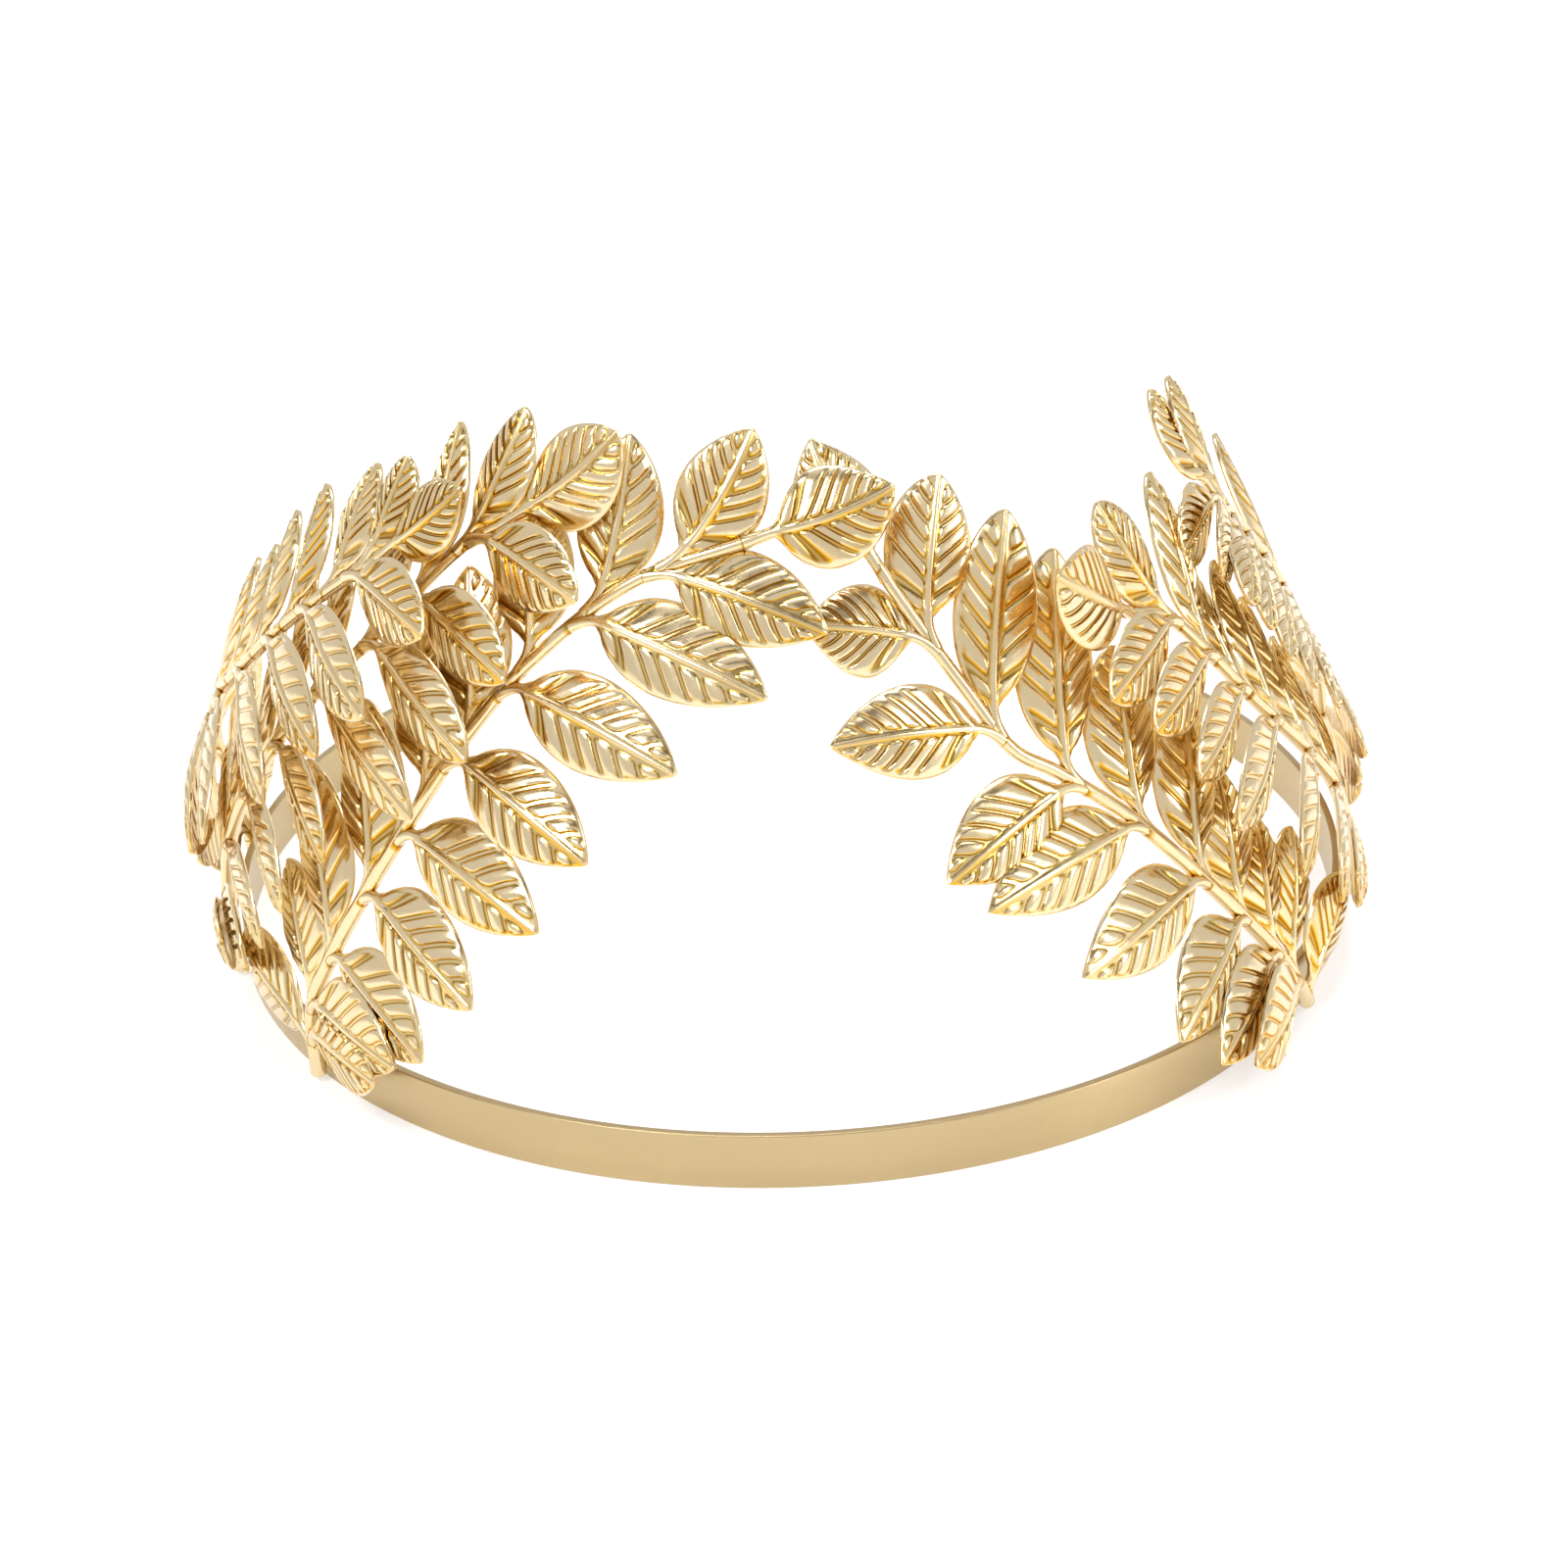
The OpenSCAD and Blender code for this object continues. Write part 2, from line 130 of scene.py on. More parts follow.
# Columns: place along the stem, side (1 above, -1 below, 0 its end), angle off the stem, length,
# lift of the tip, and the leaf's own tilt where it has one
LEAVES = {
    "left_front_sprig": [
        (0.07, -1, 90, 15.5, 16), (0.05, 1, 75, 20, 2),
        (0.145, -1, 75, 17.5, 14), (0.155, 1, 52, 14.5, 0),
        (0.27, -1, 82, 17, 12), (0.27, 1, 62, 20.5, 0),
        (0.355, -1, 86, 18, 12), (0.36, 1, 52, 19, 0),
        (0.425, -1, 80, 19.5, 12), (0.475, 1, 48, 16.5, 0),
        (0.535, -1, 87, 18.5, 10), (0.575, 1, 50, 16, 0),
        (0.655, -1, 76, 20, 10), (0.695, 1, 58, 17, 0),
        (0.775, -1, 67, 20, 10), (0.795, 1, 45, 16.5, 0),
        (0.87, -1, 50, 17, 6), (0.885, 1, 35, 15, 5),
        (0.97, 0, -2, 14, 5)],
    "left_middle_sprig": [
        (0.07, -1, 72, 15, 14), (0.07, 1, 60, 16, 0),
        (0.18, -1, 78, 17, 10), (0.185, 1, 55, 17, 0),
        (0.29, -1, 82, 17, 8), (0.295, 1, 55, 18, -1),
        (0.39, -1, 84, 17, 8), (0.395, 1, 56, 18, -2),
        (0.49, -1, 82, 17, 8), (0.49, 1, 57, 18, -2),
        (0.6, -1, 71, 21.5, 10), (0.59, 1, 58, 18, -2),
        (0.69, -1, 75, 19.5, 12), (0.69, 1, 58, 17.5, -2),
        (0.765, -1, 77, 16, 15), (0.775, 1, 45, 16.5, -1),
        (0.875, -1, 62, 14.5, 20), (0.855, 1, 29, 14, 5),
        (0.945, 0, 12, 14, 8)],
    "left_back_sprig": [
        (0.06, -1, 70, 15, 8), (0.06, 1, 60, 16, 2),
        (0.16, -1, 75, 17, 8), (0.17, 1, 60, 17, 0),
        (0.27, -1, 78, 18, 7), (0.28, 1, 58, 17, 0),
        (0.37, -1, 74, 20, 9), (0.37, 1, 58, 16, 0),
        (0.48, -1, 66, 21, 10), (0.46, 1, 58, 15.5, 0),
        (0.585, -1, 60, 22, 10), (0.545, 1, 60, 15, 0),
        (0.675, -1, 60, 21.5, 12), (0.64, 1, 66, 14.5, 0),
        (0.77, -1, 60, 20, 15), (0.72, 1, 64, 14, 0),
        (0.825, 1, 53, 13, 0),
        (0.89, -1, 50, 15.5, 15), (0.925, 1, 45, 11, 5),
        (0.985, 0, 2, 12, 10)],
    "right_front_sprig": [
        (0.07, -1, 55, 18, 24), (0.01, 1, 88, 13, 10),
        (0.145, -1, 67, 17.5, 20), (0.09, 1, 64, 14.5, 4),
        (0.225, -1, 76, 17, 18), (0.15, 1, 52, 13.5, 1),
        (0.29, -1, 63, 20, 14), (0.225, 1, 53, 15, 0),
        (0.37, -1, 60, 20.5, 12), (0.29, 1, 60, 19.5, 0),
        (0.465, -1, 65, 17, 12), (0.365, 1, 54, 18, 0),
        (0.655, -1, 58, 17, 10), (0.475, 1, 64, 23, 3),
        (0.815, -1, 52, 12, 3), (0.66, 1, 49, 21.5, 5),
        (0.82, 1, 45, 15.5, 5),
        (0.945, 0, 4, 14, 0)],
    "right_middle_sprig": [
        (0.07, -1, 70, 15, 12), (0.07, 1, 55, 15, 0),
        (0.19, -1, 75, 17, 12), (0.19, 1, 52, 16, -1),
        (0.3, -1, 73, 18, 12), (0.3, 1, 54, 17, -2),
        (0.41, -1, 68, 19, 14), (0.4, 1, 54, 18, -2),
        (0.51, -1, 60, 20, 14), (0.5, 1, 54, 18, -1),
        (0.6, -1, 67, 16.5, 14), (0.595, 1, 55, 17, -9),
        (0.685, -1, 67, 15.5, 15), (0.69, 1, 55, 19, 0),
        (0.81, -1, 64, 15.5, 18), (0.83, 1, 23, 14.5, 8),
        (0.975, 0, 6, 14, 36)],
    "right_back_sprig": [
        (0.07, -1, 65, 15, 8), (0.07, 1, 60, 15, 2),
        (0.18, -1, 72, 17, 6), (0.18, 1, 55, 17, 0),
        (0.29, -1, 75, 18, 8), (0.29, 1, 52, 18, 0),
        (0.4, -1, 75, 16, 8), (0.4, 1, 50, 18, 0),
        (0.5, -1, 76, 17, 8), (0.52, 1, 53, 17.2, 3),
        (0.61, -1, 78, 16, 8),
        (0.72, -1, 80, 14, 10),
        (0.83, -1, 80, 13, 12),
        (0.88, -1, 70, 12, 8, -20), (0.92, 1, 47, 13.6, 6),
        (0.97, -1, 61, 12, -1, -15),
        (0.99, 0, 34, 12.3, 0)],
}

# The leaf's relief
PADS = 7                    # raised pads on each side of the midrib
PADS_END = 0.9              # where the last pad ends, as a share of the blade
PAD_GROWTH = 1.2            # how much wider the pads grow toward the tip
PAD_SHARE = 0.41            # half a pad's width, as a share of its pitch
PAD_H = 0.34                # how high a pad stands at most
PAD_FLANK = 0.36            # how far in its flank reaches, as a share of its half width
PAD_DISH = 0.08             # how far its middle is sunk, as a share of its height
DISH_FROM, DISH_RUN = 0.4, 0.5      # where the dish begins and how far it takes to deepen
PAD_CLEAR = 0.42            # from the midrib's line to a pad's rounded inner end
PAD_EDGE = 0.3              # from a pad's outer end to the margin
PAD_ROUND = 0.7             # how much of its half width the outer end's rounding takes
PAD_ROOM = 1.2              # room from the midrib to the margin where pads stand fully
EDGE_FADE, FADE_FROM = 0.3, 0.4     # how much lower pads get toward the margin, and from where
VEIN_REACH = 5.3            # how far toward the tip a vein runs on its way to the margin
VEIN_RUN = 0.47             # how far across it runs, as a share of the blade's width
RIB_H = 0.3                 # height of the midrib at the base
RIB_W = 0.62                # half its width there
RIB_TAPER = 0.5             # how much narrower it is at the tip
RIB_SINK, RIB_END = 0.7, 0.97       # how much lower it gets, and by where
RIB_FLANK = 1.25            # over 1, so that its crest is flat
HOLLOW, HOLLOW_IN, HOLLOW_OUT = 0.08, 0.9, 0.8  # how deep the blade sinks, and over what widths
BACK_SHARE = 0.45           # how much of the relief shows, sunk, on the back

# How uneven the pads are
PAD_THIN = 0.06             # those of one half are narrower by up to twice this share
INNER_PLAY, OUTER_PLAY = 0.1, 0.15  # how much their ends move
LEAN_ACROSS, LEAN_ALONG = 0.10, 0.05            # how much their tops slope
LEAN_IN = 0.4               # how far in from the flank a slope is full
STRUCK, STRUCK_BY_HALF, STRUCK_BY_PAD = 0.82, 0.18, 0.1     # how fully they were pressed

# Painted shade: the brown lines in the grooves and the darker ground between the raised parts,
# which are painted lighter, and the tone level of each part
LINE_W, END_LINE_W = 0.09, 0.07     # width beside a pad, and how much more at its ends
RIB_LINE, RIB_LINE_W = 0.6, 0.13    # strength and width beside the midrib
RIB_LINE_FADE = 0.5         # how much weaker that one is at the tip
MARGIN_FROM, MARGIN_RUN = 0.8, 0.1  # the margin is bright from here out: shares of the half width
GROUND = 0.72               # painted shade: brightness between the raised parts
PAD_SHINE = 1.3             # over 1, so that a pad's whole top is painted bright
BACK_TONE_LEVEL, BACK_LINE = 0.98, 0.45   # the back's brightness, and how much its painted shade lines take off
RIM_TONE_LEVEL, STALK_TONE_LEVEL = 0.6, 0.95    # brightness of a blade's rim and of its stalk
STEM_TONE_LEVEL, BAND_TONE_LEVEL = 0.9, 0.9

# The leaf's own shape
MARGIN_T = 0.45             # how much thinner a blade is at its margin
THIN_W = 0.5                # width over which it thins
SLANT_MOST = 0.43           # the most that a row may slant toward the tip, as a share of the blade
SLANT_LEAD, SLANT_IN = 0.05, 0.25   # how fast the rows take up their slant
SLANT_POWER = 2.2           # and how they lose it again toward the tip
TIP_FROM, TIP_RUN = 0.8, 0.15       # where the blade may grow narrower than its stalk
LOPSIDED, LOPSIDED_IN = 0.04, 0.2   # how much wider one half may be, and from where
STALK_FADE = 0.1            # share of the blade over which the round stalk flattens
CUP_ROUND = 0.5             # how softly the cup turns under the midrib
CUP_PLAY = 0.5              # how much more or less a leaf is cupped
BEND = 0.5                  # how far tip and base fall behind the middle of the blade
BEND_PLAY = 0.4             # how much more or less a leaf bends
BEND_TOP = 0.45             # where along the blade it stands highest
BEND_IN = 0.3               # share of the blade over which its bends set in
ARCH = 0.012                # how fast a blade curves away across
TWIST, TWIST_AT = 0.06, 0.4         # how much it twists, and about which place
WAVE, WAVE_TURN, WAVE_PLAY = 0.07, 5.0, 3.0     # height, turn and shift of its slow wave
ROOT_BACK = 0.5             # how far back along the stem a stalk begins
ROOT_SHARE = 0.2            # how much of the leaf's angle it has there
ROOT_PULL = 1.2             # how long it keeps to that way
FLARE, FLARE_OVER = 0.28, 0.6       # how much thicker it is at the stem, and over what share

# Which draw of vary() each uneven thing takes
DRAW_INNER, DRAW_OUTER, DRAW_ACROSS, DRAW_ALONG, DRAW_PAD = range(1, 6)
DRAW_WIDER, DRAW_BEND, DRAW_CUP, DRAW_TWIST, DRAW_WAVE, DRAW_HALF, DRAW_THIN = range(7, 14)
# What vary() mixes its numbers with, and how many seeds each sprig has for its leaves
HASH_STEPS = (12.9898, 78.233, 37.719, 4.581)
HASH_SCALE = 43758.5453
SEEDS_PER_SPRIG = 40

# Where the rows of a leaf's mesh lie: on each pad, as shares of the pitch, and past the last pad
PAD_ROWS = (-0.5, -0.44, -0.39, -0.33, -0.26, 0.0, 0.26, 0.33, 0.39, 0.44)
TIP_ROWS = (0.0, 0.25, 0.5, 0.7, 0.85, 0.94, 0.985)
STALK_ROWS = 8
# Where its columns lie, as shares of the half width
FRONT_COLUMNS = (0.0, 0.05, 0.09, 0.13, 0.17, 0.22, 0.28, 0.36, 0.47, 0.6, 0.72, 0.82, 0.9, 0.96)
BACK_COLUMNS = (0.0, 0.12, 0.4, 0.75, 0.96)
RIB_CELLS = 8               # straight lengths that add up to a midrib's curve
STEP_U = 0.01               # half the stretch of stem that its way is taken from

# Stems and band
STEM_ROWS, STEM_SIDES = 110, 16
CAP_L = 0.6                 # how far a stem's rounded ends stand out
CAP_PLACES = (0.0, 0.03, 0.12, 0.3, 0.6)        # where their rows lie, from the end inward
CAP_R = 0.62                # where their rounding would come to a point, just past the end
BAND_EDGE = 0.16            # size of the band's eased edges
# An edge's rows, as shares of that size: how far in from the face, how far from the band's rim
EDGE_ROWS = ((1, 0), (0.45, 0.12), (0.12, 0.45), (0, 1))
BAND_CROWN = 0.03           # how far the outer face swells
CROWN_ROWS = (0.3, 0.7)     # where, as shares of its height
ARC_ROWS, TAIL_ROWS = 420, 22       # rows along the hoop and round each of its ends
TAIL_FROM = 0.12            # how far round the end its first row lies, in radians
LEAF_SHARP, BAND_SHARP = 50.0, 40.0         # edges that turn more degrees than this stay sharp


def ease(t):
    """A smooth step from 0 to 1."""
    c = np.clip(t, 0.0, 1.0)
    return c * c * (3 - 2 * c)


def vary(*numbers):
    """A number from -1 to 1, or an array of them, that is always the same for the same numbers."""
    x = np.sin(sum(n * k for n, k in zip(numbers, HASH_STEPS))) * HASH_SCALE
    return 2 * (x - np.floor(x)) - 1


def unit(way):
    """One millimetre along a way, on a plan."""
    return np.stack([np.cos(way), np.sin(way)], -1)


class Dome:
    """What the sprigs of one layer lie on: it stands on the hoop and leans in as it rises."""

    def __init__(self, layer, lean, power, waist):
        self.layer, self.lean, self.power, self.waist = layer, lean, power, waist

    def radius(self, az, z):
        side = ease((np.abs(az) - WAIST_FROM) / (SIDE_AT - WAIST_FROM))
        return (HOOP_R + SEAT_GAP + FOOT_D / 2 + self.layer * ease(z / RISE_H)
                - self.lean * (np.maximum(z - LEAN_FROM, 0) / LEAN_H) ** self.power
                - self.waist * side * ease(z / WAIST_H))

    def slope(self, z):
        """How much the dome leans in for each millimetre that it rises."""
        rise = np.maximum(z - LEAN_FROM, TINY) / LEAN_H
        return self.lean * self.power / LEAN_H * rise ** (self.power - 1)

    def point(self, az, z, n):
        """The point at an angle round the hoop and a height, n outside the dome."""
        slope = self.slope(z)
        k = np.sqrt(1 + slope ** 2)
        r, a = self.radius(az, z) + n / k, np.radians(az)
        return np.stack([r * np.sin(a), -r * np.cos(a), z + n * slope / k], -1)

    def step(self, az, z, round_it, up_it):
        """From a place on the dome, a step of some millimetres round it and up it."""
        return (az + np.degrees(round_it / self.radius(az, z)),
                z + up_it / np.sqrt(1 + self.slope(z) ** 2))


def along(rows, u):
    """A smooth curve through the rows of a table, u from 0 to 1: degrees round, height."""
    rows = np.asarray(rows, float)
    n = len(rows) - 1
    ends = np.vstack([2 * rows[0] - rows[1], rows, 2 * rows[-1] - rows[-2]])
    x = np.clip(np.asarray(u, float), 0, 1) * n
    i = np.minimum(np.floor(x).astype(int), n - 1)
    t = (x - i)[..., None]
    p0, p1, p2, p3 = ends[i], ends[i + 1], ends[i + 2], ends[i + 3]
    return 0.5 * (2 * p1 + (p2 - p0) * t + (2 * p0 - 5 * p1 + 4 * p2 - p3) * t ** 2
                  + (3 * p1 - p0 - 3 * p2 + p3) * t ** 3)


def heading(dome, rows, u):
    """Which way a stem runs at u, in radians up from the way round the hoop."""
    a, b = along(rows, u - STEP_U), along(rows, u + STEP_U)
    mid = (a + b) / 2
    k = np.sqrt(1 + dome.slope(mid[..., 1]) ** 2)
    return np.arctan2((b[..., 1] - a[..., 1]) * k,
                      np.radians(b[..., 0] - a[..., 0]) * dome.radius(mid[..., 0], mid[..., 1]))


def half_width(t, tip_power):
    """Half width of a blade at t along it, for a blade one wide."""
    t = np.clip(t, 0, 1)
    widest = BASE_POWER / (BASE_POWER + tip_power)
    full = widest ** BASE_POWER * (1 - widest) ** tip_power
    return 0.5 / full * t ** BASE_POWER * (1 - t) ** tip_power


def rib_at(way, side, t):
    """Where the midrib is at t along a blade of one that sets out at an angle and curls."""
    t = np.asarray(t, float)
    steps = (np.arange(RIB_CELLS) + 0.5) / RIB_CELLS
    a = way + side * math.radians(SWEEP) * (steps * t[..., None] - 0.5)
    return t[..., None] / RIB_CELLS * np.stack([np.cos(a).sum(-1), np.sin(a).sum(-1)], -1)


def pad_place(tau):
    """Which pad a place on the midrib belongs to: whole numbers are the pads' middles."""
    return PADS * (tau / PADS_END) ** (1 / PAD_GROWTH) - 0.5


def pad_start(place):
    """The same the other way: the share of the blade at a place among the pads."""
    return PADS_END * ((place + 0.5) / PADS) ** PAD_GROWTH


def relief(tau, v, y, reach, length, width, t, seed):
    """Height of the pads and the midrib, how bright the gold is painted, with painted shade between
    the raised parts, and where the brown lines of painted shade run.

    tau: where a vein leaves the midrib, v: share of the half width, y: distance off the midrib,
    reach: the half width there, t: place along the blade.
    """
    # where a point lies on its pad: a across it, b past the ends of its middle line, and q from 0
    # at its foot to 1 on that line
    slant = math.atan2(1.0, VEIN_REACH / (VEIN_RUN * width))
    place = pad_place(tau)
    pad = np.clip(np.round(place), 0, PADS - 1)
    half = v < 0
    pitch = length * math.sin(slant) * (pad_start(pad + 0.5) - pad_start(pad - 0.5))
    a = (place - pad) * pitch
    r = PAD_SHARE * pitch * (1 - PAD_THIN * (1 + vary(seed, half, DRAW_THIN)))
    inner = PAD_CLEAR + r + INNER_PLAY * vary(seed, pad, half, DRAW_INNER)
    outer = (reach - PAD_EDGE - PAD_ROUND * r
             - OUTER_PLAY * (1 + vary(seed, pad, half, DRAW_OUTER)))
    mid = (inner + outer) / 2
    inner, outer = np.minimum(inner, mid), np.maximum(outer, mid)
    b = np.where(y < inner, inner - y, np.maximum(y - outer, 0)) / math.sin(slant)
    q = (r - np.hypot(a, b)) / r

    room = ease((reach - PAD_CLEAR - PAD_EDGE) / PAD_ROOM)
    fade = 1 - EDGE_FADE * ease((y - FADE_FROM * reach) / ((1 - FADE_FROM) * reach + TINY))
    top = (np.sin(math.pi / 2 * np.clip(q / PAD_FLANK, 0, 1))
           - PAD_DISH * ease((q - DISH_FROM) / DISH_RUN))
    lean = (LEAN_ACROSS * vary(seed, pad, half, DRAW_ACROSS) * a
            + LEAN_ALONG * vary(seed, pad, half, DRAW_ALONG) * (y - mid)) * ease(q / LEAN_IN)
    struck = (STRUCK + STRUCK_BY_HALF * vary(seed, half, DRAW_HALF)
              + STRUCK_BY_PAD * vary(seed, pad, half, DRAW_PAD))
    pads = room * (PAD_H * fade * struck * top + lean)

    rib_w = RIB_W * (1 - RIB_TAPER * t)
    rib = (RIB_H * (1 - RIB_SINK * ease(t / RIB_END))
           * ease(RIB_FLANK * (1 - y / rib_w)))
    hollow = -HOLLOW * ease(y / HOLLOW_IN) * ease((reach - y) / HOLLOW_OUT)

    # painted shade: brown lines at the pads' feet and beside the midrib, and a darker ground
    # between the raised parts, whose tops are painted lighter
    foot = np.exp(-(q * r / (LINE_W + END_LINE_W * (b > 0))) ** 2) * room
    beside_rib = RIB_LINE * np.exp(-((y - rib_w) / RIB_LINE_W) ** 2) * (1 - RIB_LINE_FADE * t)
    margin = ease((y / reach - MARGIN_FROM) / MARGIN_RUN)
    painted_groove_shade = np.maximum(foot, beside_rib) * (1 - margin)
    raised = np.clip(PAD_SHINE * pads / PAD_H + rib / RIB_H, 0, 1)
    worn = GROUND + (1 - GROUND) * raised - GROUND * painted_groove_shade
    return pads + rib + hollow, np.clip(np.maximum(worn, margin), 0, 1), painted_groove_shade


class Leaf:
    """One leaf's place on its sprig, worked out from its row of the table."""

    def __init__(self, dome, shares, rows, row, seed):
        place, side, angle, self.length, lift = row[:5]
        tilt = row[5] if len(row) > 5 else shares[2 if side > 0 else 3]
        self.dome, self.seed = dome, seed
        self.side = side or 1
        self.width = LEAF_W * shares[0] if side else END_LEAF_W * shares[1]
        self.tip_power = shares[4 if side > 0 else 5]
        self.start = along(rows, place)
        self.stem_way = float(heading(dome, rows, place))
        self.turn = self.side * math.radians(angle)
        self.way = self.stem_way + self.turn
        self.base = STALK_L * unit(self.stem_way + self.turn * STALK_SHARE)
        self.rise = math.tan(math.radians(lift))
        self.roll = side * math.tan(math.radians(tilt)) * min(self.start[1] / CLEAR_H, 1)
        self.sweep = self.side * math.radians(SWEEP)

    def rib(self, t):
        """The midrib at t, on the leaf's own plan."""
        return self.base + self.length * rib_at(self.way, self.side, t)

    def place(self, plan, n):
        """Points of the leaf's own plan, n outside the dome."""
        az, z = self.dome.step(self.start[0], self.start[1], plan[..., 0], plan[..., 1])
        return self.dome.point(az, z, n)


def columns():
    """The columns round a leaf, from one margin over its front and back behind.

    Each has its share of the half width and its face: 1 front, 0 margin, -1 back.
    """
    front = np.array([-c for c in FRONT_COLUMNS[:0:-1]] + list(FRONT_COLUMNS))
    back = np.array(list(BACK_COLUMNS[::-1]) + [-c for c in BACK_COLUMNS[1:]])
    v = np.concatenate([[-1.0], front, [1.0], back])
    face = np.concatenate([[0], np.ones(len(front)), [0], -np.ones(len(back))])
    return v, face


def blade(leaf, v, face):
    """The blade's rings of points, each point's painted brightness with the painted shade of its
    grooves, and the tip.
    """
    # tau is where a row leaves the midrib, and from there it slants toward the tip like a vein
    tau = [0.0] + [pad_start(i + p) for i in range(PADS) for p in PAD_ROWS if i + p > -0.5]
    tau = np.array(tau + [PADS_END + (1 - PADS_END) * k for k in TIP_ROWS])
    slant = (min(VEIN_REACH / leaf.length, SLANT_MOST) * ease((tau + SLANT_LEAD) / SLANT_IN)
             * (1 - tau ** SLANT_POWER))
    t = tau[:, None] + slant[:, None] * np.abs(v)[None]

    least = STALK_D / 2 * (1 - ease((t - TIP_FROM) / TIP_RUN))
    reach = np.maximum(leaf.width * half_width(t, leaf.tip_power), least)
    wider = LOPSIDED * vary(leaf.seed, DRAW_WIDER)
    reach = reach * (1 + wider * np.sign(v)[None] * ease(t / LOPSIDED_IN))
    off = v[None] * reach
    y = np.abs(off)
    way = leaf.way + leaf.sweep * (t - 0.5)
    plan = leaf.rib(t) + off[..., None] * np.stack([-np.sin(way), np.cos(way)], -1)

    height, worn, painted_groove_shade = relief(tau[:, None], v[None], y, reach, leaf.length, leaf.width, t,
                                leaf.seed)
    thick = LEAF_T * (1 - MARGIN_T + MARGIN_T * ease((reach - y) / THIN_W))
    flat = ease(t / STALK_FADE)
    circle = STALK_D / 2 * np.sqrt(np.maximum(1 - v[None] ** 2, 0))
    front = (flat * (thick / 2 + height)
             + (1 - flat) * np.maximum(circle, thick / 2 * (np.abs(v) < 1)))
    back = flat * (-thick / 2 + BACK_SHARE * height) - (1 - flat) * circle

    bend = BEND * (1 + BEND_PLAY * vary(leaf.seed, DRAW_BEND))
    cup = CUP * (1 + CUP_PLAY * vary(leaf.seed, DRAW_CUP))
    wave = WAVE * np.sin(WAVE_TURN * t + WAVE_PLAY * vary(leaf.seed, DRAW_WAVE))
    sheet = (leaf.rise * (STALK_L + leaf.length * t) + leaf.roll * off
             - cup * (np.sqrt(off ** 2 + CUP_ROUND ** 2) - CUP_ROUND)
             - bend * (2 * (t - BEND_TOP)) ** 2 * ease(t / BEND_IN) - ARCH * off ** 2
             + TWIST * vary(leaf.seed, DRAW_TWIST) * off * (t - TWIST_AT)
             + wave * ease(t / BEND_IN))
    rings = leaf.place(plan, sheet + (face > 0) * front + (face < 0) * back)
    tip = leaf.place(leaf.rib(1.0), sheet[-1].mean())
    # painted shade of the grooves on the front, its lines fainter on the back
    tones_and_painted_shade = np.where(face < 0, BACK_TONE_LEVEL - BACK_LINE * painted_groove_shade, np.where(face > 0, worn, RIM_TONE_LEVEL))
    return rings, tones_and_painted_shade, tip


def stalk(leaf, v, face):
    """The stalk's rings: it leaves the stem nearly along it and meets the blade's first row."""
    s = np.linspace(0, 1, STALK_ROWS + 1)[:-1][:, None]
    p0, p1 = -ROOT_BACK * unit(leaf.stem_way), leaf.base
    m0 = unit(leaf.stem_way + leaf.turn * ROOT_SHARE) * STALK_L * ROOT_PULL
    m1 = unit(leaf.way - leaf.sweep * 0.5) * STALK_L
    centre = ((2 * s ** 3 - 3 * s ** 2 + 1) * p0 + (s ** 3 - 2 * s ** 2 + s) * m0
              + (3 * s ** 2 - 2 * s ** 3) * p1 + (s ** 3 - s ** 2) * m1)
    tangent = np.gradient(np.vstack([centre, p1[None]]), axis=0)[:-1]
    tangent /= np.linalg.norm(tangent, axis=1)[:, None]
    radius = STALK_D / 2 * (1 + FLARE * (1 - ease(s / FLARE_OVER)))
    across = np.stack([-tangent[:, 1], tangent[:, 0]], -1)
    plan = centre[:, None] + (v[None] * radius)[..., None] * across[:, None]
    circle = np.sqrt(np.maximum(1 - v[None] ** 2, 0)) * face[None]
    return leaf.place(plan, leaf.rise * STALK_L * s + leaf.roll * v[None] * radius
                      + radius * circle)


def leaf_mesh(leaf):
    """One leaf as a closed mesh: a round stalk that flattens into a thin blade."""
    v, face = columns()
    stalk_rings = stalk(leaf, v, face)
    blade_rings, tones_and_painted_shade, tip = blade(leaf, v, face)
    tones_and_painted_shade = np.concatenate([np.full(stalk_rings.shape[:2], STALK_TONE_LEVEL), tones_and_painted_shade])
    return close_rings(np.concatenate([stalk_rings, blade_rings]), tones_and_painted_shade, tip)


def close_rings(rings, tones_and_painted_shade, tip=None):
    """A closed mesh from rings of points: vertices, faces and a number for each vertex."""
    count, size = rings.shape[:2]
    verts, worn, faces = [rings.reshape(-1, 3)], [tones_and_painted_shade.reshape(-1)], []
    for i in range(count - 1):
        for j in range(size):
            a, b = i * size + j, i * size + (j + 1) % size
            faces.append((a, b, b + size, a + size))
    faces.append(tuple(range(size - 1, -1, -1)))
    last = (count - 1) * size
    if tip is None:
        faces.append(tuple(last + j for j in range(size)))
    else:
        verts.append(np.asarray(tip)[None])
        worn.append(np.array([1.0]))
        faces += [(last + j, last + (j + 1) % size, count * size) for j in range(size)]
    return np.concatenate(verts), faces, np.concatenate(worn)


